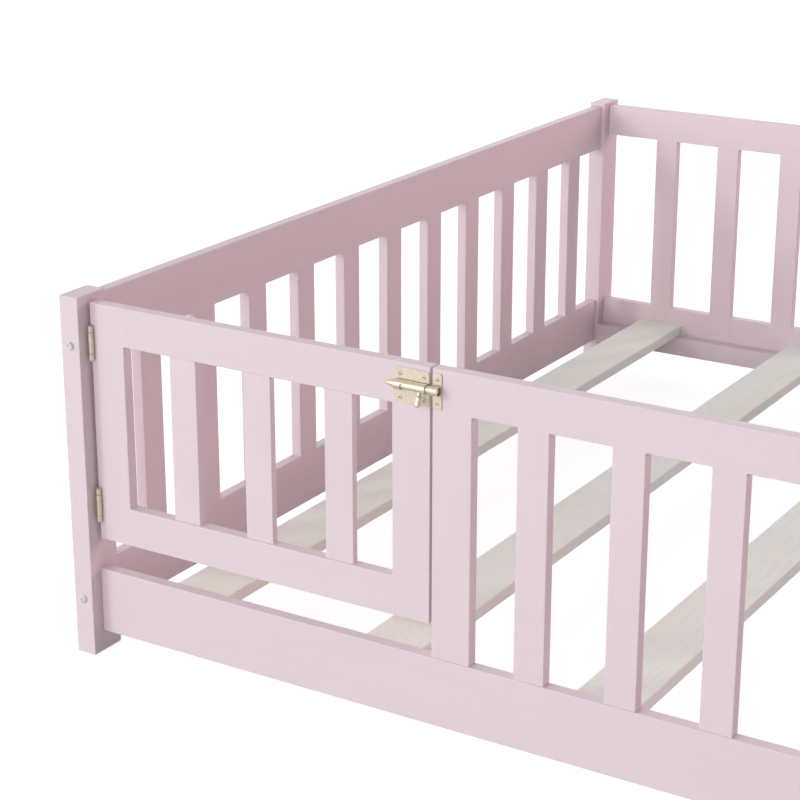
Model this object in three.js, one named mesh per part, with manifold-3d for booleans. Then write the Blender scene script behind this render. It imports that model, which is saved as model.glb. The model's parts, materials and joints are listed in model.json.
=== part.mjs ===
// Low floor bed with a picket fence all round and a small gate in the front.
// Units are millimetres, +Z is up and +X runs along the length of the bed.
// Everything is laid out from the outer corner of the front left post, with Y
// going back, and the whole group is then moved so that the origin is at the
// bottom centre of the bed.
import * as THREE from 'three';
import { mergeVertices } from 'three/addons/utils/BufferGeometryUtils.js';
import Module from 'manifold-3d';

const wasm = await Module();
wasm.setup();

// ---- Driving dimensions ----------------------------------------------------
const LENGTH = 1977;              // over the posts, along X
const WIDTH = 1460;               // over the posts, along Y
const POST = { x: 28, y: 52, height: 470 };
const BOARD = 15.5;               // thickness of every fence board
const JOINT = 0.3;                // hairline between two pieces that touch

const END_RAIL = { top: 465, topHeight: 74, bottom: 41.5, bottomHeight: 74.5 };
const END_PICKET = { count: 11, width: 40.4, pitch: 116.7, first: 123.6 };

const BACK_RAIL = { top: 465, topHeight: 51, bottom: 33, bottomHeight: 84 };
const BACK_PICKET = { count: 16, width: 38, pitch: 113.2 };

const FRONT_RAIL = { bottom: 28, height: 85.5 };
const FRONT_TOP = 461;            // top of the gate and of the fixed front fence
const FRONT_TOP_RAIL = 49;        // height of the rail on the fixed front fence
const FRONT_STILE = { left: 511, width: 49.5 };
const FRONT_PICKET = { count: 12, width: 38, pitch: 112.3, first: 617.2 };

const GATE = { left: 31.5, right: 508, bottom: 154.5, stile: 49, rail: 49 };
const GATE_PICKET = { width: 38, thickness: 9.5, lefts: [147.1, 254, 366.5] };

const CLEAT = { bottom: 40.5, height: 32, depth: 22 };
const SLAT = { count: 7, width: 78.5, pitch: 281.8, thickness: 16 };

const HINGE = { centres: { upper: 411, lower: 201 }, height: 43, middle: 27 };
const KNUCKLE_RADIUS = 3.2;
const KNUCKLE_CLEARANCE = 0.35;   // between the knuckles and the front of the gate
const HINGE_PIN_RADIUS = 1.3;
const LEAF = { thickness: 1, width: 17, clear: 3.8 };

const LATCH = { left: 463.5, right: 507.5, bottom: 414.5, top: 455.5, plate: 1.2 };
const LATCH_BOLT = { radius: 4.25, left: 452.5, right: 521, tail: 15, z: 437 };
const SLEEVE = { outer: 5.7, inner: 4.6, left: 466, right: 507 };
// At rest the knob hangs `tilt` degrees forward of straight down, and it turns up from there.
const KNOB = { x: 499, travel: 21, tilt: 18, turn: 35, notch: 78, reach: 21.5, stem: 2.1, radius: 3.6 };
const KEEPER = { left: 511.8, right: 523.5 };
const SCREW = { inset: 6.8, shank: 1.2, length: 9, head: 2.7, headHeight: 0.7, slot: 0.7, slotDepth: 0.45 };

const BOLT = { shank: 3, head: 5.5, headHeight: 2.6, socket: 2.1, socketDepth: 1.7 };
const END_BOLT = { heights: { upper: 408, lower: 75 }, length: 100 };
const SIDE_BOLT = { length: 78, low: 50, second: 95, high: 437 };
const HOLE_CLEARANCE = 0.35;

// ---- Places that follow from them -------------------------------------------
const boardSetback = (POST.y - BOARD) / 2;         // front face of the front fence
const endSetback = (POST.x - BOARD) / 2;           // outer face of an end fence
const insideLeft = POST.x + JOINT;
const insideRight = LENGTH - POST.x - JOINT;
const insideFront = POST.y + JOINT;
const insideBack = WIDTH - POST.y - JOINT;
const frontRailTop = FRONT_RAIL.bottom + FRONT_RAIL.height;
const frontBoardBack = boardSetback + BOARD;
const cleatTop = CLEAT.bottom + CLEAT.height;
const hingeAxis = {
  x: POST.x + 3 + KNUCKLE_RADIUS,
  y: boardSetback - KNUCKLE_CLEARANCE - KNUCKLE_RADIUS,
};
const plateFront = boardSetback - JOINT - LATCH.plate;
const boltAxisY = plateFront - HOLE_CLEARANCE - LATCH_BOLT.radius;

// ---- Materials ---------------------------------------------------------------
const paint = new THREE.MeshStandardMaterial({ color: 0xe6d7db, roughness: 0.5 });
const pine = new THREE.MeshStandardMaterial({ color: 0xd3cfc2, roughness: 0.75 });
const brass = new THREE.MeshStandardMaterial({ color: 0xe3d6a4, roughness: 0.3, metalness: 1 });
const steel = new THREE.MeshStandardMaterial({ color: 0xd6d1c4, roughness: 0.3, metalness: 1 });

// ---- Helpers -----------------------------------------------------------------
const bed = new THREE.Group();
bed.position.set(-LENGTH / 2, -WIDTH / 2, 0);

function toSolid(geometry) {
  const bare = geometry.index ? geometry.clone() : geometry;
  bare.deleteAttribute('normal');
  bare.deleteAttribute('uv');
  const merged = mergeVertices(bare, 1e-4);
  return new wasm.Manifold(new wasm.Mesh({
    numProp: 3,
    vertProperties: new Float32Array(merged.attributes.position.array),
    triVerts: new Uint32Array(merged.index.array),
  }));
}

function addSolid(name, solid, material) {
  const mesh = solid.getMesh();
  const geometry = new THREE.BufferGeometry();
  geometry.setAttribute('position', new THREE.BufferAttribute(mesh.vertProperties, 3));
  geometry.setIndex(new THREE.BufferAttribute(mesh.triVerts, 1));
  geometry.computeVertexNormals();
  const object = new THREE.Mesh(geometry, material);
  object.name = name;
  bed.add(object);
}

// A block between two corners, given as ranges along each axis.
function block([x0, x1], [y0, y1], [z0, z1]) {
  const geometry = new THREE.BoxGeometry(x1 - x0, y1 - y0, z1 - z0);
  geometry.translate((x0 + x1) / 2, (y0 + y1) / 2, (z0 + z1) / 2);
  return toSolid(geometry);
}

// A turned shape. The profile is a list of [radius, distance along the axis]
// that starts and ends on the axis, and the axis points along `direction`.
function turned(profile, origin, direction, sides = 20) {
  const points = profile.map(([r, h]) => new THREE.Vector2(r, h));
  const geometry = new THREE.LatheGeometry(points, sides);
  const up = new THREE.Vector3(0, 1, 0);
  const turn = new THREE.Quaternion().setFromUnitVectors(up, new THREE.Vector3(...direction));
  geometry.applyQuaternion(turn);
  geometry.translate(...origin);
  return toSolid(geometry);
}

function rod(radius, length, origin, direction, sides = 20) {
  return turned([[0, 0], [radius, 0], [radius, length], [0, length]], origin, direction, sides);
}

const join = (solids) => solids.reduce((all, next) => all.add(next));
const cut = (solid, tools) => tools.reduce((left, tool) => left.subtract(tool), solid);
const series = (count, place) => Array.from({ length: count }, (_, i) => place(i));

// ---- Assembly bolts ------------------------------------------------------------
// Every post takes two bolts along Y into the end fence and two along X into
// the front or back fence. Each one is described once, and both the bolt and
// the holes that it passes through are made from that description.
const corners = [
  { name: 'front_left', x: 0, y: 0 },
  { name: 'front_right', x: 1, y: 0 },
  { name: 'rear_left', x: 0, y: 1 },
  { name: 'rear_right', x: 1, y: 1 },
];

function boltsOf(corner) {
  const inward = { x: corner.x ? -1 : 1, y: corner.y ? -1 : 1 };
  const faceX = corner.x * LENGTH;
  const faceY = corner.y * WIDTH;
  const midX = faceX + inward.x * POST.x / 2;
  const midY = faceY + inward.y * POST.y / 2;
  const upperSide = corner.name === 'front_left' ? SIDE_BOLT.second : SIDE_BOLT.high;
  const end = Object.entries(END_BOLT.heights).map(([level, z]) => ({
    name: `bolt_${corner.name}_end_${level}`,
    origin: [midX, faceY, z],
    direction: [0, inward.y, 0],
    length: END_BOLT.length,
  }));
  const side = Object.entries({ upper: upperSide, lower: SIDE_BOLT.low }).map(([level, z]) => ({
    name: `bolt_${corner.name}_side_${level}`,
    origin: [faceX, midY, z],
    direction: [inward.x, 0, 0],
    length: SIDE_BOLT.length,
  }));
  return [...end, ...side];
}

const bolts = corners.flatMap(boltsOf);

function boltHole({ origin, direction, length }) {
  const start = origin.map((value, i) => value - direction[i] * BOLT.headHeight);
  const depth = length + BOLT.headHeight + 2;
  return rod(BOLT.shank + HOLE_CLEARANCE, depth, start, direction, 12);
}

const boltHoles = bolts.map(boltHole);

function addBolt({ name, origin, direction, length }) {
  const under = -JOINT;
  const crown = under - BOLT.headHeight;
  const body = turned([
    [0, crown],
    [BOLT.head * 0.6, crown],
    [BOLT.head, under - 1],
    [BOLT.head, under],
    [BOLT.shank, under],
    [BOLT.shank, length],
    [0, length],
  ], origin, direction, 14);
  const socketStart = origin.map((value, i) => value + direction[i] * (crown - 1));
  const socket = rod(BOLT.socket, BOLT.socketDepth + 1, socketStart, direction, 6);
  addSolid(name, body.subtract(socket), steel);
}

// ---- Posts ----------------------------------------------------------------------
for (const corner of corners) {
  const x = corner.x * (LENGTH - POST.x);
  const y = corner.y * (WIDTH - POST.y);
  const post = block([x, x + POST.x], [y, y + POST.y], [0, POST.height]);
  addSolid(`post_${corner.name}`, cut(post, boltHoles), paint);
}

// ---- End fences: two rails with eleven pickets glued between them -----------------
function addEndFence(name, outer) {
  const across = [outer, outer + BOARD];
  const along = [insideFront, insideBack];
  const topRailBottom = END_RAIL.top - END_RAIL.topHeight;
  const bottomRailTop = END_RAIL.bottom + END_RAIL.bottomHeight;
  const rails = [
    block(across, along, [topRailBottom, END_RAIL.top]),
    block(across, along, [END_RAIL.bottom, bottomRailTop]),
  ];
  const pickets = series(END_PICKET.count, (i) => {
    const y = END_PICKET.first + i * END_PICKET.pitch;
    return block(across, [y, y + END_PICKET.width], [bottomRailTop - 1, topRailBottom + 1]);
  });
  addSolid(name, cut(join([...rails, ...pickets]), boltHoles), paint);
}

addEndFence('end_fence_left', endSetback);
addEndFence('end_fence_right', LENGTH - endSetback - BOARD);

// ---- Back fence --------------------------------------------------------------------
function addBackFence() {
  const across = [WIDTH - boardSetback - BOARD, WIDTH - boardSetback];
  const along = [insideLeft, insideRight];
  const topRailBottom = BACK_RAIL.top - BACK_RAIL.topHeight;
  const bottomRailTop = BACK_RAIL.bottom + BACK_RAIL.bottomHeight;
  const rails = [
    block(along, across, [topRailBottom, BACK_RAIL.top]),
    block(along, across, [BACK_RAIL.bottom, bottomRailTop]),
  ];
  const run = (BACK_PICKET.count - 1) * BACK_PICKET.pitch + BACK_PICKET.width;
  const first = (LENGTH - run) / 2;
  const pickets = series(BACK_PICKET.count, (i) => {
    const x = first + i * BACK_PICKET.pitch;
    return block([x, x + BACK_PICKET.width], across, [bottomRailTop - 1, topRailBottom + 1]);
  });
  addSolid('back_fence', cut(join([...rails, ...pickets]), boltHoles), paint);
}

addBackFence();

// ---- Front: one long bottom rail, and the fixed fence beside the gate ----------------
const frontAcross = [boardSetback, frontBoardBack];

function addFrontRail() {
  const rail = block([insideLeft, insideRight], frontAcross, [FRONT_RAIL.bottom, frontRailTop]);
  addSolid('front_bottom_rail', cut(rail, boltHoles), paint);
}

function addFrontFence(screwHoles) {
  const foot = frontRailTop + JOINT;
  const railBottom = FRONT_TOP - FRONT_TOP_RAIL;
  const stileRight = FRONT_STILE.left + FRONT_STILE.width;
  const stile = block([FRONT_STILE.left, stileRight], frontAcross, [foot, FRONT_TOP]);
  const rail = block([stileRight - 1, insideRight], frontAcross, [railBottom, FRONT_TOP]);
  const pickets = series(FRONT_PICKET.count, (i) => {
    const x = FRONT_PICKET.first + i * FRONT_PICKET.pitch;
    return block([x, x + FRONT_PICKET.width], frontAcross, [foot, railBottom + 1]);
  });
  const fence = join([stile, rail, ...pickets]);
  addSolid('front_fixed_fence', cut(fence, [...boltHoles, ...screwHoles]), paint);
}

// ---- Slats and the cleats that carry them ----------------------------------------------
function addSlatsAndCleats() {
  const frontFace = frontBoardBack + JOINT;
  const backFace = WIDTH - frontBoardBack - JOINT;
  const along = [insideLeft, insideRight];
  const level = [CLEAT.bottom, cleatTop];
  const front = block(along, [frontFace, frontFace + CLEAT.depth], level);
  const back = block(along, [backFace - CLEAT.depth, backFace], level);
  // The cleats end against the posts, which are deeper than the fence boards.
  addSolid('slat_cleat_front', front, paint);
  addSolid('slat_cleat_back', back, paint);
  const bottom = cleatTop + JOINT;
  for (let i = 0; i < SLAT.count; i += 1) {
    const middle = LENGTH / 2 + (i - (SLAT.count - 1) / 2) * SLAT.pitch;
    const across = [middle - SLAT.width / 2, middle + SLAT.width / 2];
    const slat = block(across, [frontFace, backFace], [bottom, bottom + SLAT.thickness]);
    addSolid(`slat_${i + 1}`, slat, pine);
  }
}

// ---- Gate: two stiles, two rails and three thinner pickets --------------------------------
function addGate(screwHoles) {
  const innerLeft = GATE.left + GATE.stile;
  const innerRight = GATE.right - GATE.stile;
  const height = [GATE.bottom, FRONT_TOP];
  const span = [innerLeft + JOINT, innerRight - JOINT];
  const railTop = GATE.bottom + GATE.rail;
  const railBottom = FRONT_TOP - GATE.rail;
  const latchStile = block([innerRight, GATE.right], frontAcross, height);
  addSolid('gate_hinge_stile', block([GATE.left, innerLeft], frontAcross, height), paint);
  addSolid('gate_latch_stile', cut(latchStile, screwHoles), paint);
  addSolid('gate_top_rail', block(span, frontAcross, [railBottom, FRONT_TOP]), paint);
  addSolid('gate_bottom_rail', block(span, frontAcross, [GATE.bottom, railTop]), paint);
  const inset = (BOARD - GATE_PICKET.thickness) / 2;
  const picketAcross = [boardSetback + inset, frontBoardBack - inset];
  GATE_PICKET.lefts.forEach((x, i) => {
    const sides = [x, x + GATE_PICKET.width];
    const picket = block(sides, picketAcross, [railTop + JOINT, railBottom - JOINT]);
    addSolid(`gate_picket_${i + 1}`, picket, paint);
  });
}

// ---- Hinges ---------------------------------------------------------------------------------
// Each butt hinge has a leaf on the post with the two outer knuckles, a leaf on
// the gate with the long middle knuckle, and a pin. Both leaves lie in the gap
// between the post and the gate, and the knuckles stand in front of the gate.
// Each leaf runs across into the back of its knuckles.
function hingeLeaf(plateLeft, centre, knuckles) {
  const across = [plateLeft, plateLeft + LEAF.thickness];
  const full = [centre - HINGE.height / 2, centre + HINGE.height / 2];
  const { x, y } = hingeAxis;
  const wrap = [y + KNUCKLE_RADIUS - LEAF.thickness, y + KNUCKLE_RADIUS];
  const pieces = [block(across, [y + LEAF.clear, y + LEAF.width], full)];
  for (const [low, high] of knuckles) {
    pieces.push(block(across, [wrap[0], y + LEAF.clear + 1], [low, high]));
    pieces.push(block([plateLeft, x], wrap, [low, high]));
    pieces.push(rod(KNUCKLE_RADIUS, high - low, [x, y, low], [0, 0, 1], 24));
  }
  const bore = HINGE_PIN_RADIUS + HOLE_CLEARANCE;
  const drill = rod(bore, HINGE.height + 4, [x, y, full[0] - 2], [0, 0, 1], 16);
  return join(pieces).subtract(drill);
}

function addHinge(level, centre) {
  const half = HINGE.height / 2;
  const middle = HINGE.middle / 2;
  const outer = [
    [centre - half, centre - middle - JOINT],
    [centre + middle + JOINT, centre + half],
  ];
  const postLeafLeft = POST.x + JOINT;
  const gateLeafLeft = GATE.left - JOINT - LEAF.thickness;
  const cap = KNUCKLE_RADIUS - 0.7;
  const end = half + JOINT;
  const pin = turned([
    [0, -end - 1],
    [cap - 0.8, -end - 1],
    [cap, -end - 0.4],
    [cap, -end],
    [HINGE_PIN_RADIUS, -end],
    [HINGE_PIN_RADIUS, end],
    [cap, end],
    [cap, end + 0.4],
    [cap - 0.8, end + 1],
    [0, end + 1],
  ], [hingeAxis.x, hingeAxis.y, centre], [0, 0, 1], 16);
  const inner = [[centre - middle, centre + middle]];
  addSolid(`hinge_${level}_post_leaf`, hingeLeaf(postLeafLeft, centre, outer), brass);
  addSolid(`hinge_${level}_gate_leaf`, hingeLeaf(gateLeafLeft, centre, inner), brass);
  addSolid(`hinge_${level}_pin`, pin, brass);
}

// ---- Barrel latch ----------------------------------------------------------------------------
function tubeAlongX(left, right) {
  const start = [left, boltAxisY, LATCH_BOLT.z];
  return rod(SLEEVE.outer, right - left, start, [1, 0, 0], 28);
}

function boreAlongX(left, right) {
  const start = [left - 2, boltAxisY, LATCH_BOLT.z];
  return rod(SLEEVE.inner, right - left + 4, start, [1, 0, 0], 28);
}

// The knob's stem slides in a slot along the lower front of the sleeve. The slot
// is wide enough for the stem to turn up, and a notch rises from its parked end.
function knobSlot() {
  const half = KNOB.stem + HOLE_CLEARANCE;
  const parked = KNOB.x - KNOB.travel;
  const depth = [-SLEEVE.outer - 2, -SLEEVE.inner / 2];
  const steps = 7;
  const swept = (right, turn) => series(steps + 1, (i) => {
    const stem = block([parked - half, right + half], [-half, half], depth);
    return stem.rotate([-turn * i / steps, 0, 0]);
  });
  const slot = join([...swept(KNOB.x, KNOB.turn), ...swept(parked, KNOB.notch)]);
  return slot.rotate([-KNOB.tilt, 0, 0]).translate([0, boltAxisY, LATCH_BOLT.z]);
}

function screwsOn(name, xs, zs) {
  return xs.flatMap((x, column) => zs.map((z, row) => ({
    name: `${name}_${column * zs.length + row + 1}`,
    origin: [x, plateFront, z],
  })));
}

const screwLevels = [LATCH.top - SCREW.inset, LATCH.bottom + SCREW.inset];
const latchColumns = [LATCH.left + SCREW.inset, LATCH.right - SCREW.inset];
const latchScrews = screwsOn('latch_screw', latchColumns, screwLevels);
const keeperScrews = screwsOn('keeper_screw', [(KEEPER.left + KEEPER.right) / 2], screwLevels);

function screwHole({ origin: [x, y, z] }) {
  const radius = SCREW.shank + HOLE_CLEARANCE;
  return rod(radius, SCREW.length + 3, [x, y - 1, z], [0, 1, 0], 10);
}

function addScrew({ name, origin: [x, y, z] }) {
  const base = y - JOINT;
  const top = -SCREW.headHeight;
  const body = turned([
    [0, top],
    [SCREW.head * 0.55, top],
    [SCREW.head * 0.9, top * 0.6],
    [SCREW.head, 0],
    [SCREW.shank, 0],
    [SCREW.shank, SCREW.length - 2],
    [0, SCREW.length],
  ], [x, base, z], [0, 1, 0], 12);
  const half = SCREW.slot / 2;
  const slotAcross = [x - SCREW.head - 1, x + SCREW.head + 1];
  const slotFloor = base + top + SCREW.slotDepth;
  const slot = block(slotAcross, [slotFloor - 2, slotFloor], [z - half, z + half]);
  addSolid(name, body.subtract(slot), brass);
}

function addLatch() {
  const plateAcross = [plateFront, plateFront + LATCH.plate];
  const level = [LATCH.bottom, LATCH.top];
  const body = join([
    block([LATCH.left, LATCH.right], plateAcross, level),
    tubeAlongX(SLEEVE.left, SLEEVE.right),
  ]);
  const bodyCuts = [boreAlongX(LATCH.left, LATCH.right), knobSlot()];
  addSolid('latch_body', cut(body, [...bodyCuts, ...latchScrews.map(screwHole)]), brass);

  const keeper = join([
    block([KEEPER.left, KEEPER.right], plateAcross, level),
    tubeAlongX(KEEPER.left, KEEPER.right),
  ]);
  const keeperCuts = [boreAlongX(KEEPER.left, KEEPER.right), ...keeperScrews.map(screwHole)];
  addSolid('latch_keeper', cut(keeper, keeperCuts), brass);

  const length = LATCH_BOLT.right - LATCH_BOLT.left;
  const bolt = turned([
    [0, 0],
    [LATCH_BOLT.radius * 0.35, 0.6],
    [LATCH_BOLT.radius, LATCH_BOLT.tail],
    [LATCH_BOLT.radius, length - 1.5],
    [LATCH_BOLT.radius - 1.5, length],
    [0, length],
  ], [LATCH_BOLT.left, boltAxisY, LATCH_BOLT.z], [1, 0, 0], 24);
  addSolid('latch_bolt', bolt, brass);

  const foot = LATCH_BOLT.radius + JOINT;
  const lean = KNOB.tilt * Math.PI / 180;
  const knob = turned([
    [0, foot],
    [KNOB.stem, foot],
    [KNOB.stem, 8.2],
    [KNOB.radius - 0.5, 9],
    [KNOB.radius, 12],
    [KNOB.radius, KNOB.reach - 2.4],
    [KNOB.radius * 0.6, KNOB.reach - 0.5],
    [0, KNOB.reach],
  ], [KNOB.x, boltAxisY, LATCH_BOLT.z], [0, -Math.sin(lean), -Math.cos(lean)], 16);
  addSolid('latch_knob', knob, brass);
}

// ---- Assembly ---------------------------------------------------------------------------------
addFrontRail();
addFrontFence(keeperScrews.map(screwHole));
addSlatsAndCleats();
addGate(latchScrews.map(screwHole));
Object.entries(HINGE.centres).forEach(([level, centre]) => addHinge(level, centre));
addLatch();
[...latchScrews, ...keeperScrews].forEach(addScrew);
bolts.forEach(addBolt);

export default bed;
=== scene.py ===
"""Looks for a low floor bed with a picket fence all round and a small gate.

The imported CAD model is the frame. Every CAD node is replaced by one finished
piece in the same place: boards with softened edges, turned hardware and
procedural paint, pine and plated metal. Lengths are in metres.
"""
import json
import math
import random
from collections import Counter

import bmesh
import bpy
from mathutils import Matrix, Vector


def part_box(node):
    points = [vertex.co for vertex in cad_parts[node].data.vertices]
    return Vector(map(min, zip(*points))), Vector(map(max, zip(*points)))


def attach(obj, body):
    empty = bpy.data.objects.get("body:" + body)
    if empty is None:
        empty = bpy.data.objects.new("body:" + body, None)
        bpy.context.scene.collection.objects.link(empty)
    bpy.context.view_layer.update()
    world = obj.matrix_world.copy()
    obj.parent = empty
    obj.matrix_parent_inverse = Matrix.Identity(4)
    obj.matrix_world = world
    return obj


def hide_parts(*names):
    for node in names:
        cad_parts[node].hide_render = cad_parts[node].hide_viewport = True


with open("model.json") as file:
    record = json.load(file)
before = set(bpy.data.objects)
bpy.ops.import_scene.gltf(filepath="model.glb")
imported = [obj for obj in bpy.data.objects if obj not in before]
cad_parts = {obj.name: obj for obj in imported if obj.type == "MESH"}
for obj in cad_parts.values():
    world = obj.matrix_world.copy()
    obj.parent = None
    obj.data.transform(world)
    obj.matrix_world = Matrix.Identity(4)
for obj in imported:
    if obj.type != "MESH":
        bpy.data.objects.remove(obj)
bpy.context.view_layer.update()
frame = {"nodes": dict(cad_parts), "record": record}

MM = 0.001
X, Y, Z = 0, 1, 2

# ---- Driving values: wood ------------------------------------------------------
BOARD_EDGE = 1.0 * MM          # rounding on the long edges of the fence boards
POST_EDGE = 1.2 * MM
SLAT_EDGE = 1.4 * MM
EDGE_STEPS = 4                 # segments round one softened edge
SHARP_ANGLE = math.radians(50)  # edges steeper than this stay sharp in the shading
GLUED_OVERLAP = 0.3 * MM       # how far a glued board runs on behind its neighbour's edge
GRAIN_SHIFT = 50               # each board's grain starts somewhere in a block this large
SEED = 7

# ---- Driving values: hardware -----------------------------------------------------
BOLT = {
    "head": 2.6 * MM, "rim": 0.8 * MM, "crown": 0.72,
    "socket": 3.8 * MM, "depth": 1.2 * MM, "shank": 3.0 * MM,
}
LEAF = {"thickness": 1.0 * MM, "corner": 1.2 * MM, "bevel": 0.25 * MM, "wrap_corner": 0.4 * MM}
KNUCKLE = {"radius": 3.2 * MM, "pin": 1.3 * MM, "bevel": 0.35 * MM}
LEAF_SCREW = {"radius": 2.4 * MM, "proud": 0.25 * MM, "under": 0.4 * MM, "places": (0.2, 0.8)}
PIN_HEAD = 1.0 * MM
SCREW_FLAT = 0.66              # share of a screw head that is flat before it domes down
PLATE = {"thickness": 1.2 * MM, "corner": 3.2 * MM, "bevel": 0.35 * MM}
KEEPER_CORNER = 0.8            # share of the latch plate's corner
SLEEVE = {"outer": 5.7 * MM, "inner": 4.6 * MM, "bevel": 0.25 * MM}
SLEEVE_ENDS = {"latch_body": (2.5 * MM, 0.5 * MM), "latch_keeper": (0.6 * MM, 0.6 * MM)}
SIDES = {
    "bolt": 48, "screw": 48, "screw_shank": 16, "knuckle": 36, "pin": 32,
    "sleeve": 56, "latch_bolt": 40, "knob": 36,
}
# The slot for the knob's stem: half its width, and how far the stem turns where it is parked.
SLOT = {"half": 2.45 * MM, "notch": math.radians(78), "steps": 24, "least": 0.002}
TAIL = {"length": 15 * MM, "tip": 0.12, "start": 0.16, "fullness": 0.9, "steps": 8}
KNOB = {"stem": 2.1 * MM, "barrel": 4.4 * MM, "waist": 0.62, "crown": 2.6 * MM}
LATCH_SCREW = {"proud": 0.7 * MM, "under": 0.25 * MM, "shank": 1.2 * MM, "point": 0.2 * MM}

# ---- Driving values: colours and textures -------------------------------------------
# Texture scales are repeats per metre along the grain and across it both ways.
PAINT = {
    "light": (0.80, 0.672, 0.712, 1),
    "deep": (0.77, 0.638, 0.680, 1),
    # The edge colour is the paler pink of the rounded edges: partly rubbed paint, partly a painted
    # highlight.
    "edge": (0.85, 0.735, 0.770, 1),
    "fibre_scale": (9.0, 420.0, 420.0),
    "figure_scale": (2.2, 46.0, 46.0),
    "peel_scale": 900.0,
    "cloud_scale": 5.0,
    # How much each pattern darkens the paint, from none to all of the way to `deep`.
    "base_share": 0.12, "cloud_share": 0.45, "fibre_share": 0.30,
    "figure_share": 0.22, "tone_share": 0.16,
    "peel_depth": 0.02 * MM, "fibre_depth": 0.10 * MM, "figure_depth": 0.25 * MM,
    "gloss": 0.36, "gloss_swing": 0.10,
}
PINE = {
    "ring": 5.2 * MM,
    "pale": (0.935, 0.965, 0.915, 1),
    "warm": (0.935, 0.885, 0.785, 1),
    "late": (0.850, 0.830, 0.740, 1),
    "streak": (0.880, 0.880, 0.805, 1),
    "rim": (0.66, 0.580, 0.450, 1),
    "knot": (0.42, 0.320, 0.220, 1),
    "wander_scale": (2.6, 9.0, 9.0),
    "knot_scale": (4.2, 9.5, 1.0),
    "knot_share": 0.34,
    "fibre_scale": (7.0, 520.0, 520.0),
    "pore_scale": (38.0, 1500.0, 1500.0),
    "patch_scale": (3.0, 14.0, 14.0),
    # Distances from a knot's centre, in its own cells: outside and inside of each soft edge.
    "knot_reach": (0.34, 0.02), "knot_rim": (0.13, 0.07), "knot_heart": (0.085, 0.035),
    # How far the rings wander along a board, bend round a knot and slope through its thickness.
    "ring_wander": 0.085, "ring_bend": 0.020, "ring_slope": 0.35,
    # How strongly each pattern shows.
    "streak_share": 0.55, "tone_share": 0.10, "rim_share": 0.35, "heart_share": 0.50, "paler_edge_share": 0.25,
    "pore_depth": 0.06 * MM, "fibre_depth": 0.20 * MM, "ring_depth": 0.10 * MM,
    "gloss": 0.62, "gloss_swing": 0.16,
    "sheen": (0.92, 1.0, 0.93, 1), "sheen_weight": 1.0, "sheen_roughness": 0.5,
}
# The shade colour of each finish is painted shade, mixed in where parts meet.
BRASS = {
    "light": (0.86, 0.78, 0.66, 1), "deep": (0.79, 0.71, 0.57, 1), "shade": (0.20, 0.18, 0.06, 1),
    "roughness": 0.50,
}
STEEL = {
    "light": (0.98, 0.95, 0.90, 1), "deep": (0.92, 0.88, 0.81, 1), "shade": (0.26, 0.21, 0.15, 1),
    "roughness": 0.40,
}
METAL = {
    "brush_scale": (900.0, 5200.0, 900.0), "smudge_scale": 160.0, "pit_scale": 2600.0,
    "painted_shade_reach": 2.2 * MM, "painted_shade_range": (0.30, 0.80),
    "smudge_gloss": 0.16, "brush_gloss": 0.10, "brush_depth": 0.02 * MM, "pit_depth": 0.02 * MM,
}

# ---- Driving values: stage, light and camera ------------------------------------------
STAGE = {"half": 30.0, "drop": 0.4 * MM, "seen": 0.45, "bounce": 0.75, "glow": 0.80}
# Direction, colour, and how narrow each broad light is (1 fills its whole side).
BROAD_LIGHTS = {
    "front": ((0, -1, 0), (3.52, 3.48, 3.52), 5.0),
    "back": ((0, 1, 0), (2.95, 3.00, 3.00), 5.0),
    "left": ((-1, 0, 0), (1.04, 0.96, 1.00), 1.0),
    "top": ((0, 0, 1), (0.03, 0.06, 0.05), 1.0),
}
LAMPS = {
    "key": {"place": (-3.75, -4.40, 2.40), "size": 0.9, "power": 55.0, "colour": (0.86, 1.00, 0.93)},
    "rim": {"place": (4.0, 4.5, 3.0), "size": 3.2, "power": 100.0, "colour": (1.72, 1.08, 1.22)},
}
LAMP_AIM = (0.0, -0.2, 0.25)
CAMERA = {
    "place": (0.6277, -2.5677, 1.1702), "yaw": 31.71, "pitch": 19.06, "lens": 94.26, "sensor": 36.0,
}

# ---- What the frame says ------------------------------------------------------
record = frame["record"]
body_of = {
    node: body
    for body, nodes in record["behaviour"]["bodies"].items()
    for node in nodes
}
slot_of = {row["node"]: row["material_slot"] for row in record["subparts"]}


def nodes_named(start):
    """The CAD nodes whose names start that way, in order."""
    return sorted(name for name in frame["nodes"] if name.startswith(start))


def middle_of(node):
    low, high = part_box(node)
    return (low + high) / 2


def corners_of(node):
    """Every vertex of a CAD node, rounded to a hundredth of a millimetre."""
    return [tuple(round(v, 5) for v in vertex.co) for vertex in frame["nodes"][node].data.vertices]


def edges_at(node, level, axis):
    """Where a CAD node's vertices at one height lie along an axis, in order."""
    return sorted({corner[axis] for corner in corners_of(node) if abs(corner[Z] - level) < MM / 20})


def rail_levels(node):
    """The two heights with the most vertices: where the pickets end."""
    heights = Counter(corner[Z] for corner in corners_of(node))
    return sorted(height for height, _ in heights.most_common(2))


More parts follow.
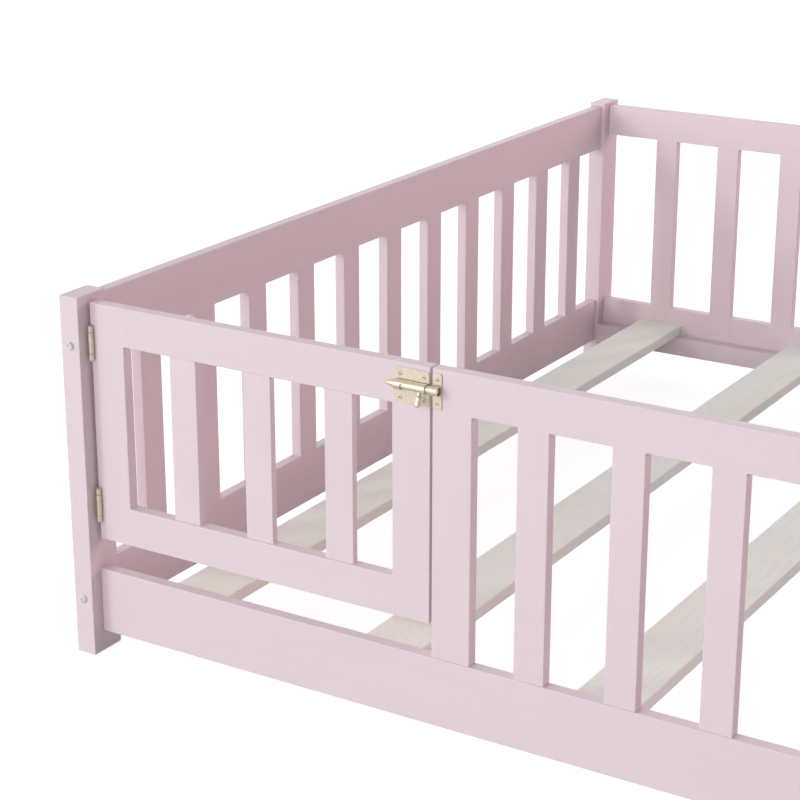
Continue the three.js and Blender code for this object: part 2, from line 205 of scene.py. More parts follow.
# ---- Gathering a piece -----------------------------------------------------------
class Piece:
    """The vertices, faces and shader data of one piece, put together solid by solid."""

    def __init__(self, node):
        self.node = node
        self.points = []
        self.faces = []
        self.grain = []
        self.edge = []
        self.tone = []
        self.random = random.Random(f"{SEED} {node}")

    def loft(self, sections, grain=None, edge=None):
        """A closed solid through sections that hold the same number of points."""
        start = len(self.points)
        count = len(sections[0])
        for section in sections:
            self.points.extend(Vector(point) for point in section)
        for row in range(len(sections) - 1):
            for i in range(count):
                a = start + row * count + i
                b = start + row * count + (i + 1) % count
                self.faces.append((a, b, b + count, a + count))
        last = start + (len(sections) - 1) * count
        self.faces.append(tuple(range(start + count - 1, start - 1, -1)))
        self.faces.append(tuple(range(last, last + count)))
        added = len(self.points) - start
        self.grain.extend(grain or self.points[start:])
        self.edge.extend(edge or [0.0] * added)
        self.tone.extend([self.random.uniform(-1, 1)] * added)

    def board(self, low, high, along, rounding):
        """A board with softened edges between two corners, its grain running along one axis."""
        across, up = [(Y, Z), (Z, X), (X, Y)][along]
        half = [(high[axis] - low[axis]) / 2 for axis in (across, up)]
        centre = [(high[axis] + low[axis]) / 2 for axis in (across, up)]
        shift = Vector([self.random.uniform(0, GRAIN_SHIFT) for _ in range(3)])
        sections, grain, edge = [], [], []
        for place, inset, end_share in end_steps(low[along], high[along], rounding):
            section = []
            outline = rounded_rectangle(half[0] - inset, half[1] - inset, rounding)
            for u, v, corner in outline:
                point = Vector((0, 0, 0))
                point[along] = place
                point[across] = centre[0] + u
                point[up] = centre[1] + v
                section.append(point)
                grain.append(Vector((place, u, v)) + shift)
                edge.append(max(corner, end_share))
            sections.append(section)
        self.loft(sections, grain, edge)

    def add_solid(self, points, faces):
        """Takes in a solid whose faces count from its own first point."""
        start = len(self.points)
        self.points.extend(Vector(point) for point in points)
        self.faces.extend(tuple(start + i for i in face) for face in faces)
        self.grain.extend(self.points[start:])
        self.edge.extend([0.0] * len(points))
        self.tone.extend([0.0] * len(points))

    def finish(self):
        """Makes the Blender object and gives it its body, slot, material and node."""
        mesh = bpy.data.meshes.new(self.node)
        mesh.from_pydata(self.points, [], self.faces)
        vectors = mesh.attributes.new("grain", "FLOAT_VECTOR", "POINT")
        vectors.data.foreach_set("vector", [value for point in self.grain for value in point])
        for name, values in (("edge", self.edge), ("tone", self.tone)):
            mesh.attributes.new(name, "FLOAT", "POINT").data.foreach_set("value", values)
        return place_piece(mesh, self.node)


def place_piece(mesh, node):
    """An object for a finished mesh, which stands for a CAD node and moves with its body."""
    soften(mesh)
    piece = bpy.data.objects.new(f"{node}_finished", mesh)
    bpy.context.scene.collection.objects.link(piece)
    normals = piece.modifiers.new("even_shading", "WEIGHTED_NORMAL")
    normals.keep_sharp = True
    mesh.materials.append(materials[slot_of[node]])
    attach(piece, body_of[node])
    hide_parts(node)
    return piece


def soften(mesh):
    """Smooth faces with sharp edges only where two faces meet steeply."""
    bm = bmesh.new()
    bm.from_mesh(mesh)
    bmesh.ops.recalc_face_normals(bm, faces=bm.faces)
    for face in bm.faces:
        face.smooth = True
    for edge in bm.edges:
        edge.smooth = edge.calc_face_angle(0) < SHARP_ANGLE
    bm.to_mesh(mesh)
    bm.free()


def rounded_rectangle(half_width, half_height, radius, steps=EDGE_STEPS):
    """(across, up, how far into the corner) round a rectangle with rounded corners."""
    radius = min(radius, half_width, half_height)
    points = []
    for i, (side, top) in enumerate([(1, 1), (-1, 1), (-1, -1), (1, -1)]):
        for step in range(steps + 1):
            angle = math.pi / 2 * (i + step / steps)
            points.append((
                side * (half_width - radius) + radius * math.cos(angle),
                top * (half_height - radius) + radius * math.sin(angle),
                math.sin(math.pi * step / steps),
            ))
    return points


def end_steps(start, end, radius, steps=EDGE_STEPS):
    """(place, inset, how far round the end) of each section along a board whose two ends are rounded
    over.
    """
    turn = [math.pi / 2 * step / steps for step in range(steps + 1)]
    first = [
        (start + radius * (1 - math.sin(a)), radius * (1 - math.cos(a)), math.sin(2 * a))
        for a in turn
    ]
    first.reverse()
    last = [(end - (place - start), inset, end_curve) for place, inset, end_curve in reversed(first)]
    return first + last


# ---- Turned and pressed shapes ------------------------------------------------------
def frame_along(direction):
    """Two directions square to the given one."""
    direction = Vector(direction).normalized()
    side = Vector((0, 0, 1)) if abs(direction.z) < 0.9 else Vector((1, 0, 0))
    first = direction.cross(side).normalized()
    return first, direction.cross(first)


def ring(centre, direction, radius, sides, reach=None):
    """Points round an axis. `reach` gives the radius for an angle, for rings that aren't round."""
    first, second = frame_along(direction)
    points = []
    for i in range(sides):
        angle = 2 * math.pi * i / sides
        far = reach(angle) if reach else radius
        points.append(Vector(centre) + first * far * math.cos(angle) + second * far * math.sin(angle))
    return points


def turned(piece, profile, origin, direction, sides=40):
    """A turned solid. The profile holds (radius or reach function, distance along the axis)."""
    direction = Vector(direction).normalized()
    sections = []
    for radius, distance in profile:
        centre = Vector(origin) + direction * distance
        reach = radius if callable(radius) else None
        sections.append(ring(centre, direction, radius, sides, reach))
    piece.loft(sections)


def dome(radius, base, height, steps=5):
    """Profile of a low dome, from its rim to just short of its crown."""
    turn = [math.pi / 2 * step / (steps + 0.5) for step in range(steps + 1)]
    return [(radius * math.cos(a), base + height * math.sin(a)) for a in turn]


def hexagon(width):
    """Reach of a hexagon that is `width` across its flats."""
    def reach(angle):
        return width / 2 / math.cos((angle + math.pi / 6) % (math.pi / 3) - math.pi / 6)
    return reach


def cross(length, width):
    """Reach of a plus sign with arms of that length from the centre."""
    def reach(angle):
        c, s = abs(math.cos(angle)), abs(math.sin(angle))
        big, small = max(c, s), min(c, s)
        return min(length / big, width / 2 / max(small, 1e-6))
    return reach


def sheet(piece, low, high, across, corner, bevel):
    """A pressed plate with rounded corners and softened faces. `across` is its thin axis."""
    wide, up = [(Y, Z), (Z, X), (X, Y)][across]
    half = [(high[axis] - low[axis]) / 2 for axis in (wide, up)]
    centre = [(high[axis] + low[axis]) / 2 for axis in (wide, up)]
    sections = []
    for place, inset, _ in end_steps(low[across], high[across], bevel, 3):
        section = []
        for u, v, _ in rounded_rectangle(half[0] - inset, half[1] - inset, corner - inset, 8):
            point = Vector((0, 0, 0))
            point[across] = place
            point[wide] = centre[0] + u
            point[up] = centre[1] + v
            section.append(point)
        sections.append(section)
    piece.loft(sections)


# ---- Materials ----------------------------------------------------------------------
def material(name):
    made = bpy.data.materials.new(name)
    made.use_nodes = True
    made.node_tree.nodes.clear()
    return made


def node(tree, kind, inputs=None, **settings):
    """A shader node. An input is a plain value or another node's output socket."""
    made = tree.nodes.new("ShaderNode" + kind)
    for key, value in settings.items():
        setattr(made, key, value)
    for key, value in (inputs or {}).items():
        if isinstance(value, bpy.types.NodeSocket):
            tree.links.new(value, made.inputs[key])
        else:
            made.inputs[key].default_value = value
    return made


def attribute(tree, name, output="Fac"):
    return node(tree, "Attribute", attribute_name=name).outputs[output]


def maths(tree, operation, a, b=0.0, c=0.0, clamp=False):
    return node(tree, "Math", {0: a, 1: b, 2: c}, operation=operation, use_clamp=clamp).outputs[0]


def scaled(tree, vector, scale):
    return node(tree, "VectorMath", {0: vector, 1: scale}, operation="MULTIPLY").outputs[0]


def noise(tree, vector, scale, detail=2.0, roughness=0.5, distortion=0.0):
    made = node(tree, "TexNoise", {
        "Vector": vector, "Scale": scale, "Detail": detail,
        "Roughness": roughness, "Distortion": distortion,
    })
    return made.outputs["Fac"]


def ramp(tree, value, low, high, to_low=0.0, to_high=1.0):
    """The value moved from one range to another, with soft ends."""
    made = node(tree, "MapRange", {
        "Value": value, "From Min": low, "From Max": high, "To Min": to_low, "To Max": to_high,
    }, interpolation_type="SMOOTHSTEP")
    return made.outputs["Result"]


def blend_colour(tree, share, first, second):
    made = node(tree, "Mix", {0: share, 6: first, 7: second}, data_type="RGBA")
    return made.outputs[2]


def bump(tree, height, distance, strength=1.0, normal=None):
    inputs = {"Height": height, "Distance": distance, "Strength": strength}
    if normal:
        inputs["Normal"] = normal
    return node(tree, "Bump", inputs).outputs["Normal"]


def surface(tree, **inputs):
    shader = node(tree, "BsdfPrincipled", {key.replace("_", " "): value for key, value in inputs.items()})
    node(tree, "OutputMaterial", {"Surface": shader.outputs["BSDF"]})


def painted_wood():
    """Satin pink paint. The wood grain just shows through it, and edges are painted paler, partly as
    rubbed paint and partly as a painted highlight.
    """
    made = material("painted_wood")
    tree = made.node_tree
    grain = attribute(tree, "grain", "Vector")
    fibres = noise(tree, scaled(tree, grain, PAINT["fibre_scale"]), 1.0, 4.0, 0.6, 0.4)
    figure = noise(tree, scaled(tree, grain, PAINT["figure_scale"]), 1.0, 3.0, 0.55, 1.2)
    peel = noise(tree, grain, PAINT["peel_scale"], 2.0, 0.5)
    cloud = noise(tree, grain, PAINT["cloud_scale"], 3.0, 0.5)
    tone = attribute(tree, "tone")
    edge = attribute(tree, "edge")

    shade = maths(tree, "MULTIPLY_ADD", ramp(tree, cloud, 0.3, 0.7),
                  PAINT["cloud_share"], PAINT["base_share"])
    shade = maths(tree, "MULTIPLY_ADD", ramp(tree, fibres, 0.35, 0.75), PAINT["fibre_share"], shade)
    shade = maths(tree, "MULTIPLY_ADD", ramp(tree, figure, 0.4, 0.7), PAINT["figure_share"], shade)
    shade = maths(tree, "MULTIPLY_ADD", tone, PAINT["tone_share"], shade, clamp=True)
    colour = blend_colour(tree, shade, PAINT["light"], PAINT["deep"])
    # Painted highlight, partly real wear: the rounded edges are mixed toward the paler edge pink.
    rubbed_and_highlit = maths(tree, "MULTIPLY", edge, ramp(tree, cloud, 0.25, 0.75, 0.25, 0.75))
    colour = blend_colour(tree, rubbed_and_highlit, colour, PAINT["edge"])

    gloss = maths(tree, "MULTIPLY_ADD", fibres, PAINT["gloss_swing"], PAINT["gloss"])
    gloss = maths(tree, "MULTIPLY_ADD", cloud, PAINT["gloss_swing"], gloss)
    normal = bump(tree, peel, PAINT["peel_depth"], 0.35)
    normal = bump(tree, fibres, PAINT["fibre_depth"], 0.35, normal)
    normal = bump(tree, figure, PAINT["figure_depth"], 0.25, normal)
    surface(tree, Base_Color=colour, Roughness=gloss, Normal=normal)
    return made


def raw_pine():
    """Sanded pale pine: growth rings seen on the flat, fine fibres and a few small knots."""
    made = material("pine")
    tree = made.node_tree
    grain = attribute(tree, "grain", "Vector")
    tone = attribute(tree, "tone")

    wander = noise(tree, scaled(tree, grain, PINE["wander_scale"]), 1.0, 3.0, 0.5)
    knots = node(tree, "TexVoronoi", {
        "Vector": scaled(tree, grain, PINE["knot_scale"]), "Scale": 1.0, "Randomness": 1.0,
    }, voronoi_dimensions="2D")
    distance = knots.outputs["Distance"]
    chosen = node(tree, "SeparateColor", {"Color": knots.outputs["Color"]}).outputs[0]
    chosen = maths(tree, "GREATER_THAN", chosen, 1 - PINE["knot_share"])
    near_knot = maths(tree, "MULTIPLY", ramp(tree, distance, *PINE["knot_reach"]), chosen)
    heart = maths(tree, "MULTIPLY", ramp(tree, distance, *PINE["knot_heart"]), chosen)
    rim = maths(tree, "MULTIPLY", ramp(tree, distance, *PINE["knot_rim"]), chosen)

    axes = node(tree, "SeparateXYZ", {"Vector": grain})
    across, depth = axes.outputs["Y"], axes.outputs["Z"]
    # The board is cut some way from the middle of the trunk, so the rings run along it.
    reach = maths(tree, "MULTIPLY_ADD", wander, PINE["ring_wander"], across)
    reach = maths(tree, "MULTIPLY_ADD", near_knot, PINE["ring_bend"], reach)
    reach = maths(tree, "MULTIPLY_ADD", depth, PINE["ring_slope"], reach)
    turns = maths(tree, "FRACT", maths(tree, "MULTIPLY", reach, 1 / PINE["ring"]))
    rings = ramp(tree, maths(tree, "PINGPONG", maths(tree, "POWER", turns, 1.6), 0.5), 0.12, 0.5)
    fibres = noise(tree, scaled(tree, grain, PINE["fibre_scale"]), 1.0, 4.0, 0.65, 0.2)
    pores = noise(tree, scaled(tree, grain, PINE["pore_scale"]), 1.0, 2.0, 0.5)
    patches = noise(tree, scaled(tree, grain, PINE["patch_scale"]), 1.0, 2.0, 0.5)

    colour = blend_colour(tree, ramp(tree, patches, 0.38, 0.66), PINE["pale"], PINE["warm"])
    late = maths(tree, "MULTIPLY", rings, ramp(tree, wander, 0.3, 0.7, 0.15, 0.75))
    colour = blend_colour(tree, late, colour, PINE["late"])
    streak = maths(tree, "MULTIPLY", ramp(tree, fibres, 0.42, 0.78), PINE["streak_share"])
    colour = blend_colour(tree, streak, colour, PINE["streak"])
    tint = maths(tree, "MULTIPLY_ADD", tone, PINE["tone_share"], PINE["tone_share"], clamp=True)
    colour = blend_colour(tree, tint, colour, PINE["warm"])
    rim = maths(tree, "MULTIPLY", rim, PINE["rim_share"])
    colour = blend_colour(tree, rim, colour, PINE["rim"])
    heart = maths(tree, "MULTIPLY", heart, PINE["heart_share"])
    colour = blend_colour(tree, heart, colour, PINE["knot"])
    # The rounded edges are mixed toward the pale colour.
    paler_edges = maths(tree, "MULTIPLY", attribute(tree, "edge"), PINE["paler_edge_share"])
    colour = blend_colour(tree, paler_edges, colour, PINE["pale"])

    gloss = maths(tree, "MULTIPLY_ADD", fibres, PINE["gloss_swing"], PINE["gloss"])
    normal = bump(tree, pores, PINE["pore_depth"], 0.5)
    normal = bump(tree, fibres, PINE["fibre_depth"], 0.5, normal)
    normal = bump(tree, rings, PINE["ring_depth"], 0.5, normal)
    surface(tree, Base_Color=colour, Roughness=gloss, Normal=normal, Sheen_Weight=PINE["sheen_weight"],
            Sheen_Roughness=PINE["sheen_roughness"], Sheen_Tint=PINE["sheen"])
    return made


def plated_metal(name, finish):
    """Satin plating with fine scratches, an uneven gloss and painted shade in its corners."""
    made = material(name)
    tree = made.node_tree
    place = attribute(tree, "grain", "Vector")
    brushed = noise(tree, scaled(tree, place, METAL["brush_scale"]), 1.0, 3.0, 0.6)
    smudge = noise(tree, place, METAL["smudge_scale"], 3.0, 0.5)
    pits = noise(tree, place, METAL["pit_scale"], 2.0, 0.5)
    colour = blend_colour(tree, ramp(tree, smudge, 0.35, 0.7), finish["light"], finish["deep"])
    # Painted shade: the colour darkens toward the shade colour where two surfaces meet and block the
    # light.
    openness = node(tree, "AmbientOcclusion", {"Distance": METAL["painted_shade_reach"]}, samples=8)
    unshaded = ramp(tree, openness.outputs["AO"], *METAL["painted_shade_range"])
    colour = blend_colour(tree, unshaded, finish["shade"], colour)
    smoothest = finish["roughness"] - METAL["smudge_gloss"] / 2
    gloss = maths(tree, "MULTIPLY_ADD", smudge, METAL["smudge_gloss"], smoothest)
    gloss = maths(tree, "MULTIPLY_ADD", brushed, METAL["brush_gloss"], gloss)
    normal = bump(tree, brushed, METAL["brush_depth"], 0.35)
    normal = bump(tree, pits, METAL["pit_depth"], 0.3, normal)
    surface(tree, Base_Color=colour, Roughness=gloss, Normal=normal, Metallic=1.0)
    return made


materials = {
    "painted_wood": painted_wood(),
    "pine": raw_pine(),
    "brass_hardware": plated_metal("brass_hardware", BRASS),
    "bolt_steel": plated_metal("bolt_steel", STEEL),
}


# ---- Boards ----------------------------------------------------------------------------
def longest_axis(node):
    low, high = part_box(node)
    size = high - low
    return max((X, Y, Z), key=lambda axis: size[axis])


def plain_board(node, rounding, grow=(0, 0, 0)):
    """One board in place of a CAD node. It can run on a little behind its neighbours."""
    low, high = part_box(node)
    piece = Piece(node)
    piece.board(low - Vector(grow), high + Vector(grow), longest_axis(node), rounding)
    piece.finish()


def glued_fence(node, along):
    """Two rails with pickets between them, all flush and glued up."""
    low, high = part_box(node)
    foot, head = rail_levels(node)
    piece = Piece(node)
    for bottom, top in ((low.z, foot), (head, high.z)):
        piece.board(with_level(low, bottom), with_level(high, top), along, BOARD_EDGE)
    edges = edges_at(node, foot, along)[1:-1]
    add_pickets(piece, low, high, along, edges, (foot - BOARD_EDGE, head + BOARD_EDGE))
    piece.finish()


def with_level(corner, level):
    return Vector((corner.x, corner.y, level))


def add_pickets(piece, low, high, along, edges, levels):
    """Upright boards between pairs of edges along a fence."""
    for start, end in zip(edges[::2], edges[1::2]):
        bottom = with_level(low, levels[0])
        top = with_level(high, levels[1])
        bottom[along], top[along] = start, end
        piece.board(bottom, top, Z, BOARD_EDGE)


def front_fence():
    """The fixed front fence: a stile beside the gate, a top rail and pickets with free feet."""
    node = "front_fixed_fence"
    low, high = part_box(node)
    _, head = rail_levels(node)
    edges = edges_at(node, low.z, X)
    piece = Piece(node)
    add_pickets(piece, low, high, X, edges[:2], (low.z, high.z))
    rail_low = with_level(low, head)
    rail_low.x = edges[1] - BOARD_EDGE
    piece.board(rail_low, high, X, BOARD_EDGE)
    add_pickets(piece, low, high, X, edges[2:], (low.z, head + BOARD_EDGE))
    piece.finish()


def build_boards():
    for node in nodes_named("post_"):
        plain_board(node, POST_EDGE)
    for node in nodes_named("slat_cleat_") + ["front_bottom_rail"]:
        plain_board(node, BOARD_EDGE)
    for node in nodes_named("slat_"):
        if not node.startswith("slat_cleat_"):
            plain_board(node, SLAT_EDGE)
    glued_fence("end_fence_left", Y)
    glued_fence("end_fence_right", Y)
    glued_fence("back_fence", X)
    front_fence()
    behind = BOARD_EDGE + GLUED_OVERLAP
    for node in ("gate_hinge_stile", "gate_latch_stile"):
        plain_board(node, BOARD_EDGE)
    for node in ("gate_top_rail", "gate_bottom_rail"):
        plain_board(node, BOARD_EDGE, grow=(behind, 0, 0))
    for node in nodes_named("gate_picket_"):
        plain_board(node, BOARD_EDGE, grow=(0, 0, behind))


build_boards()

# ---- Assembly bolts ----------------------------------------------------------------------
def outward(node):
    """The direction in which a bolt's head points, and the middle of its outer face."""
    low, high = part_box(node)
    middle = (low + high) / 2
    axis = longest_axis(node)
    direction = Vector((0, 0, 0))
    direction[axis] = 1 if middle[axis] > 0 else -1
    face = middle.copy()
    face[axis] = high[axis] if direction[axis] > 0 else low[axis]
    return direction, face


def build_bolt(node):
    """A button head with a hexagon socket on a plain shank."""
    low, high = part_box(node)
    direction, face = outward(node)
    size = high - low
    length = max(size)
    head = min(size) / 2
    head_height = BOLT["head"]
    socket = hexagon(BOLT["socket"])
    wall = hexagon(BOLT["socket"] * 0.96)
    crown = head * BOLT["crown"]
    profile = [
        (0.3 * MM, -BOLT["depth"] - 0.3 * MM),
        (wall, -BOLT["depth"]),
        (socket, -0.25 * MM),
        (hexagon(BOLT["socket"] * 1.08), 0),
        (crown, 0),
    ]
    # The head is flat as far as its crown and rounds over from there to its rim.
    round_over = head_height - BOLT["rim"]
    for radius, drop in reversed(dome(head, round_over, -round_over)):
        if radius > crown:
            profile.append((radius, -drop))
    profile += [
        (head, -head_height + 0.15 * MM),
        (head - 0.15 * MM, -head_height),
        (BOLT["shank"], -head_height),
        (BOLT["shank"], -length + 1 * MM),
        (BOLT["shank"] - 0.8 * MM, -length),
    ]
    piece = Piece(node)
    turned(piece, profile, face, direction, SIDES["bolt"])
    piece.finish()


for name in nodes_named("bolt_"):
    build_bolt(name)

# ---- Hinges ---------------------------------------------------------------------------------
def knuckle_spans(node, pin):
    """(bottom, top) of each knuckle, read from the CAD leaf where it wraps the pin."""
    axis = middle_of(pin)
    near = [
        corner for corner in corners_of(node)
        if math.hypot(corner[X] - axis.x, corner[Y] - axis.y) < KNUCKLE["radius"] + MM / 20
        and corner[X] > axis.x + MM
    ]
    levels = sorted({corner[Z] for corner in near})
    return list(zip(levels[::2], levels[1::2]))


def build_leaf(node, pin, on_post):
    """A hinge leaf: its plate in the gap, the wrap behind the pin, and its knuckles."""
    low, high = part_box(node)
    axis = middle_of(pin)
    piece = Piece(node)
    plate_low = Vector((low.x, axis.y + KNUCKLE["radius"] * 0.5, low.z))
    plate_high = Vector((low.x + LEAF["thickness"], high.y, high.z))
    sheet(piece, plate_low, plate_high, X, LEAF["corner"], LEAF["bevel"])
    radius = KNUCKLE["radius"]
    for bottom, top in knuckle_spans(node, pin):
        turned(piece, [
            (KNUCKLE["pin"], 0),
            (radius - KNUCKLE["bevel"], 0),
            (radius, KNUCKLE["bevel"]),
            (radius, top - bottom - KNUCKLE["bevel"]),
            (radius - KNUCKLE["bevel"], top - bottom),
            (KNUCKLE["pin"], top - bottom),
        ], (axis.x, axis.y, bottom), (0, 0, 1), SIDES["knuckle"])
        back = axis.y + radius
        sheet(piece, Vector((low.x, back - LEAF["thickness"], bottom)),
              Vector((axis.x, back, top)), Y, LEAF["wrap_corner"], LEAF["bevel"])
    add_leaf_screws(piece, plate_low, plate_high, on_post)
    piece.finish()


def add_leaf_screws(piece, low, high, faces_right):
    """Two countersunk screws in a leaf, seen when the gate stands open."""
    face = high.x if faces_right else low.x
    direction = (1, 0, 0) if faces_right else (-1, 0, 0)
    for share in LEAF_SCREW["places"]:
        middle = (face, (low.y + high.y) / 2 + MM, low.z + (high.z - low.z) * share)
        screw_head(piece, middle, direction, LEAF_SCREW["radius"], LEAF_SCREW["proud"],
                   LEAF_SCREW["under"])


def screw_head(piece, face, direction, radius, proud, under):
    """A low domed head with a cross recess, rising `proud` from a face."""
    flat = SCREW_FLAT
    recess = [
        (0.15 * MM, proud - 0.75 * MM),
        (cross(radius * 0.42, radius * 0.22), proud - 0.65 * MM),
        (cross(radius * 0.60, radius * 0.30), proud - 0.05 * MM),
        (radius * flat, proud),
    ]
    shares = (0.78, 0.88, 0.96)
    rim = [(radius * share, proud * (1 - ((share - flat) / (1 - flat)) ** 2)) for share in shares]
    turned(piece, recess + rim + [(radius, 0), (radius, -under)], face, direction, SIDES["screw"])


def build_pin(node):
    """A hinge pin with a small domed head at each end."""
    low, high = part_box(node)
    middle = (low + high) / 2
    head = (high.x - low.x) / 2
    half = (high.z - low.z) / 2
    crown = PIN_HEAD * 0.7
    cap = dome(head, half - crown, crown, 4)
    shank = [(head, half - PIN_HEAD), (KNUCKLE["pin"], half - PIN_HEAD)]
    profile = [(r, -h) for r, h in reversed(cap)] + [(r, -h) for r, h in shank]
    profile += shank[::-1] + cap
    piece = Piece(node)
    turned(piece, profile, middle, (0, 0, 1), SIDES["pin"])
    piece.finish()


for level in ("upper", "lower"):
    pin = f"hinge_{level}_pin"
    build_leaf(f"hinge_{level}_post_leaf", pin, on_post=True)
    build_leaf(f"hinge_{level}_gate_leaf", pin, on_post=False)
    build_pin(pin)

# ---- Barrel latch -----------------------------------------------------------------------------
def bolt_axis():
    return middle_of("latch_bolt")


def tube_profile(length, outer, inner, bevel):
    """Profile of an open tube, from its inner wall out and back in again."""
    return [
        (inner, 0), (outer - bevel, 0), (outer, bevel),
        (outer, length - bevel), (outer - bevel, length), (inner, length),
    ]


def add_tube(piece, left, right, axis):
    """An open tube along X. Its ends are joined by the inner wall."""
    sides = SIDES["sleeve"]
    profile = tube_profile(right - left, SLEEVE["outer"], SLEEVE["inner"], SLEEVE["bevel"])
    points, faces = [], []
    for row, (radius, along) in enumerate(profile):
        points.extend(ring((left + along, axis.y, axis.z), (1, 0, 0), radius, sides))
        here, following = row * sides, (row + 1) % len(profile) * sides
        for i in range(sides):
            j = (i + 1) % sides
            faces.append((here + i, here + j, following + j, following + i))
    piece.add_solid(points, faces)


joints = {row["name"]: row for row in record["behaviour"]["joints"]}
KNOB_TRAVEL = joints["latch_slide"]["range_m"][1]
KNOB_TURN = math.radians(joints["latch_turn"]["range_deg"][1])


def knob_middle():
    """The mean of the CAD knob's vertices, which lies on its own axis."""
    corners = [Vector(corner) for corner in corners_of("latch_knob")]
    return sum(corners, Vector((0, 0, 0))) / len(corners)


def knob_tilt():
    """How far forward of straight down the knob hangs at rest."""
    down = knob_middle() - bolt_axis()
    return math.atan2(-down.y, -down.z)


def swept_slot(cutter, right, turn):
    """Adds a cutter for the stem's sweep from the parked end to `right`, and up by `turn`."""
    axis = bolt_axis()
    tilt = knob_tilt()
    left = knob_middle().x - KNOB_TRAVEL
    corner = SLOT["half"] / SLEEVE["outer"]
    sections = []
    for step in range(SLOT["steps"] + 1):
        angle = -corner + (turn + 2 * corner) * step / SLOT["steps"]
        # The slot's ends and sides are rounded like the stem, and never quite close.
        past = max(-angle, angle - turn, 0) / corner
        reach = SLOT["half"] * math.sqrt(max(1 - past ** 2, SLOT["least"]))
        down = Vector((0, -math.sin(tilt + angle), -math.cos(tilt + angle)))
        near, far = (down * distance for distance in (SLEEVE["inner"] * 0.5, SLEEVE["outer"] + 2 * MM))
        first = Vector((left - reach, axis.y, axis.z))
        last = Vector((right + reach, axis.y, axis.z))
        sections.append([first + near, first + far, last + far, last + near])
    cutter.loft(sections)


def slot_cutter():
    """The slot that the stem slides and turns in, with a notch that rises at its parked end."""
    cutter = Piece("latch_body")
    swept_slot(cutter, knob_middle().x, KNOB_TURN)
    swept_slot(cutter, knob_middle().x - KNOB_TRAVEL, SLOT["notch"])
    return cutter


def plain_object(piece, name):
    mesh = bpy.data.meshes.new(name)
    mesh.from_pydata(piece.points, [], piece.faces)
    soften(mesh)
    made = bpy.data.objects.new(name, mesh)
    bpy.context.scene.collection.objects.link(made)
    return made


def cut_mesh(shape, cutter):
    """The first object's mesh with the second cut away. Both objects are used up."""
    tool = shape.modifiers.new("cut", "BOOLEAN")
    tool.operation = "DIFFERENCE"
    tool.solver = "EXACT"
    tool.use_self = True
    tool.object = cutter
    evaluated = shape.evaluated_get(bpy.context.evaluated_depsgraph_get())
    mesh = bpy.data.meshes.new_from_object(evaluated)
    for used in (shape, cutter):
        bpy.data.objects.remove(used)
    return mesh


def plate_box(node):
    """Corners of the flat plate at the back of a latch part."""
    low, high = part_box(node)
    return Vector((low.x, high.y - PLATE["thickness"], low.z)), high


def build_latch_body():
    """The plate, and the sleeve that the bolt slides in with the knob's slot cut into it."""
    sleeve = Piece("latch_body")
    low, high = plate_box("latch_body")
    left, right = SLEEVE_ENDS["latch_body"]
    add_tube(sleeve, low.x + left, high.x - right, bolt_axis())
    cut = cut_mesh(plain_object(sleeve, "sleeve"), plain_object(slot_cutter(), "slot"))
    piece = Piece("latch_body")
    sheet(piece, low, high, Y, PLATE["corner"], PLATE["bevel"])
    piece.add_solid([vertex.co for vertex in cut.vertices], [face.vertices for face in cut.polygons])
    piece.finish()


def build_keeper():
    """The small plate with a short sleeve that takes the end of the bolt."""
    low, high = plate_box("latch_keeper")
    piece = Piece("latch_keeper")
    sheet(piece, low, high, Y, PLATE["corner"] * KEEPER_CORNER, PLATE["bevel"])
    left, right = SLEEVE_ENDS["latch_keeper"]
    add_tube(piece, low.x + left, high.x - right, bolt_axis())
    piece.finish()


def build_latch_bolt():
    """A round bar with a long drawn-out tail at the left and a softened end at the right."""
    low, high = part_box("latch_bolt")
    radius = (high.z - low.z) / 2
    length = high.x - low.x
    start = TAIL["start"]
    profile = [(radius * TAIL["tip"], 0)]
    for step in range(1, TAIL["steps"] + 1):
        share = step / TAIL["steps"]
        swell = math.sin(share * math.pi / 2) ** TAIL["fullness"]
        profile.append((radius * (start + (1 - start) * swell), TAIL["length"] * share))
    profile += [
        (radius, length - 1.2 * MM),
        (radius - 0.35 * MM, length - 0.35 * MM),
        (radius - 1.2 * MM, length),
    ]
    piece = Piece("latch_bolt")
    turned(piece, profile, (low.x, bolt_axis().y, bolt_axis().z), (1, 0, 0), SIDES["latch_bolt"])
    piece.finish()


def build_knob():
    """The knob under the sleeve: a thin stem, a waist and a rounded barrel."""
    low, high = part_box("latch_knob")
    radius = (high.x - low.x) / 2
    tilt = knob_tilt()
    axis = bolt_axis()
    down = Vector((0, -math.sin(tilt), -math.cos(tilt)))
    reaches = [(Vector(corner) - axis).dot(down) for corner in corners_of("latch_knob")]
    top, length = min(reaches), max(reaches) - min(reaches)
    stem = KNOB["stem"]
    barrel_top = KNOB["barrel"]
    profile = [
        (stem, 0),
        (stem, barrel_top - 0.7 * MM),
        (radius * 0.80, barrel_top),
        (radius * 0.97, barrel_top + 0.9 * MM),
        (radius, barrel_top + 2.2 * MM),
        (radius * 0.93, length * KNOB["waist"]),
        (radius, length - 3.4 * MM),
    ]
    profile += dome(radius, length - KNOB["crown"], KNOB["crown"], 6)
    piece = Piece("latch_knob")
    origin = Vector((knob_middle().x, axis.y, axis.z)) + down * top
    turned(piece, profile, origin, down, SIDES["knob"])
    piece.finish()


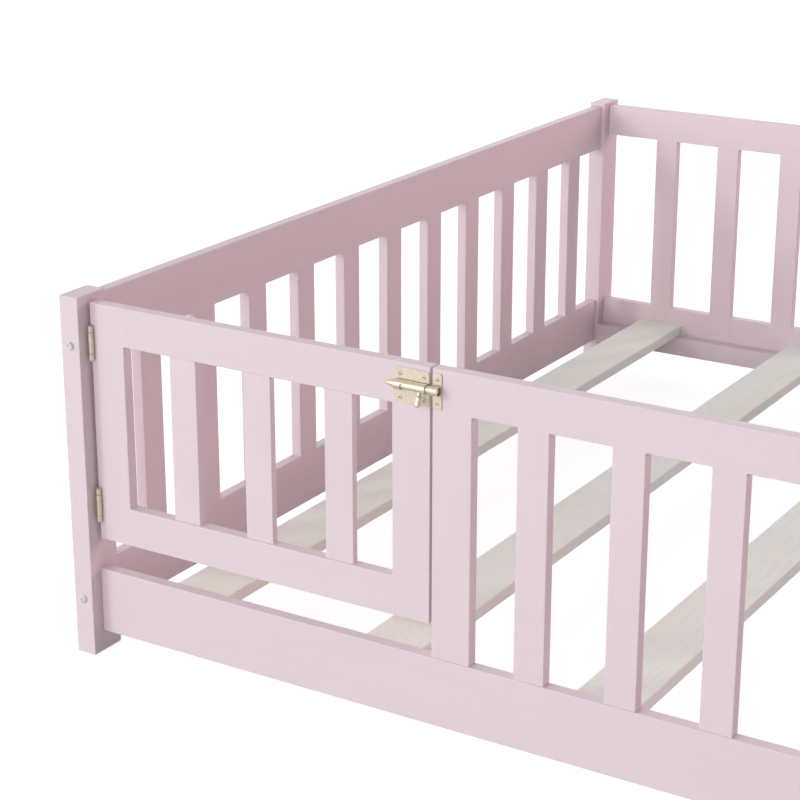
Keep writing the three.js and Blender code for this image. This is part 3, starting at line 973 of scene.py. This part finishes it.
def build_screw(node):
    """A latch screw: its domed head and a plain shank with a short point."""
    low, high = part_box(node)
    middle = middle_of(node)
    radius = (high.x - low.x) / 2
    piece = Piece(node)
    face = (middle.x, low.y + LATCH_SCREW["proud"], middle.z)
    length = high.y - low.y
    screw_head(piece, face, (0, -1, 0), radius, LATCH_SCREW["proud"], LATCH_SCREW["under"])
    shank = [(LATCH_SCREW["shank"], 0), (LATCH_SCREW["shank"], length - 3 * MM)]
    shank.append((LATCH_SCREW["point"], length - 1 * MM))
    turned(piece, shank, face, (0, 1, 0), SIDES["screw_shank"])
    piece.finish()


build_latch_body()
build_keeper()
build_latch_bolt()
build_knob()
for name in nodes_named("latch_screw_") + nodes_named("keeper_screw_"):
    build_screw(name)


# ---- Stage, light and camera --------------------------------------------------------------------
def build_floor():
    """A pale matt floor just under the feet. It glows a little, so that the camera sees it white."""
    half = STAGE["half"]
    mesh = bpy.data.meshes.new("floor")
    corners = [(-half, -half), (half, -half), (half, half), (-half, half)]
    mesh.from_pydata([(x, y, -STAGE["drop"]) for x, y in corners], [], [(0, 1, 2, 3)])
    made = material("floor")
    tree = made.node_tree
    seen = node(tree, "LightPath").outputs["Is Camera Ray"]
    grey = maths(tree, "MULTIPLY_ADD", seen, STAGE["seen"] - STAGE["bounce"], STAGE["bounce"])
    glow = maths(tree, "MULTIPLY", seen, STAGE["glow"])
    surface(tree, Base_Color=grey, Roughness=0.9, Emission_Color=(1, 1, 1, 1),
            Emission_Strength=glow, Specular_IOR_Level=0.0)
    mesh.materials.append(made)
    floor = bpy.data.objects.new("floor", mesh)
    bpy.context.scene.collection.objects.link(floor)


def build_world():
    """Soft light from all round, of its own strength on each side. The camera sees it white."""
    world = bpy.data.worlds.new("studio")
    world.use_nodes = True
    tree = world.node_tree
    tree.nodes.clear()
    direction = node(tree, "TexCoord").outputs["Generated"]
    total = (0.0, 0.0, 0.0)
    for towards, colour, focus in BROAD_LIGHTS.values():
        facing = node(tree, "VectorMath", {0: direction, 1: towards}, operation="DOT_PRODUCT")
        share = maths(tree, "POWER", maths(tree, "MAXIMUM", facing.outputs["Value"], 0.0), focus)
        side = node(tree, "VectorMath", {0: colour, "Scale": share}, operation="SCALE")
        total = node(tree, "VectorMath", {0: total, 1: side.outputs[0]}, operation="ADD").outputs[0]
    light = node(tree, "Background", {"Color": total, "Strength": 1.0})
    plain = node(tree, "Background", {"Color": (1, 1, 1, 1), "Strength": 1.0})
    seen = node(tree, "LightPath").outputs["Is Camera Ray"]
    both = node(tree, "MixShader", {0: seen, 1: light.outputs[0], 2: plain.outputs[0]})
    node(tree, "OutputWorld", {"Surface": both.outputs[0]})
    bpy.context.scene.world = world


def build_lamp(name, settings):
    """A square area lamp that faces the bed."""
    lamp = bpy.data.lights.new(name, "AREA")
    lamp.energy = settings["power"]
    lamp.color = settings["colour"]
    lamp.size = settings["size"]
    made = bpy.data.objects.new(name, lamp)
    made.location = settings["place"]
    aim = Vector(LAMP_AIM) - Vector(settings["place"])
    made.rotation_euler = aim.to_track_quat("-Z", "Y").to_euler()
    bpy.context.scene.collection.objects.link(made)


def build_camera():
    data = bpy.data.cameras.new("camera")
    data.sensor_width = CAMERA["sensor"]
    data.lens = CAMERA["lens"]
    made = bpy.data.objects.new("camera", data)
    made.location = CAMERA["place"]
    made.rotation_euler = (math.radians(90 - CAMERA["pitch"]), 0, math.radians(CAMERA["yaw"]))
    bpy.context.scene.collection.objects.link(made)
    bpy.context.scene.camera = made


build_floor()
build_world()
for lamp_name, lamp_settings in LAMPS.items():
    build_lamp(lamp_name, lamp_settings)
build_camera()
bpy.context.scene.view_settings.view_transform = "Standard"
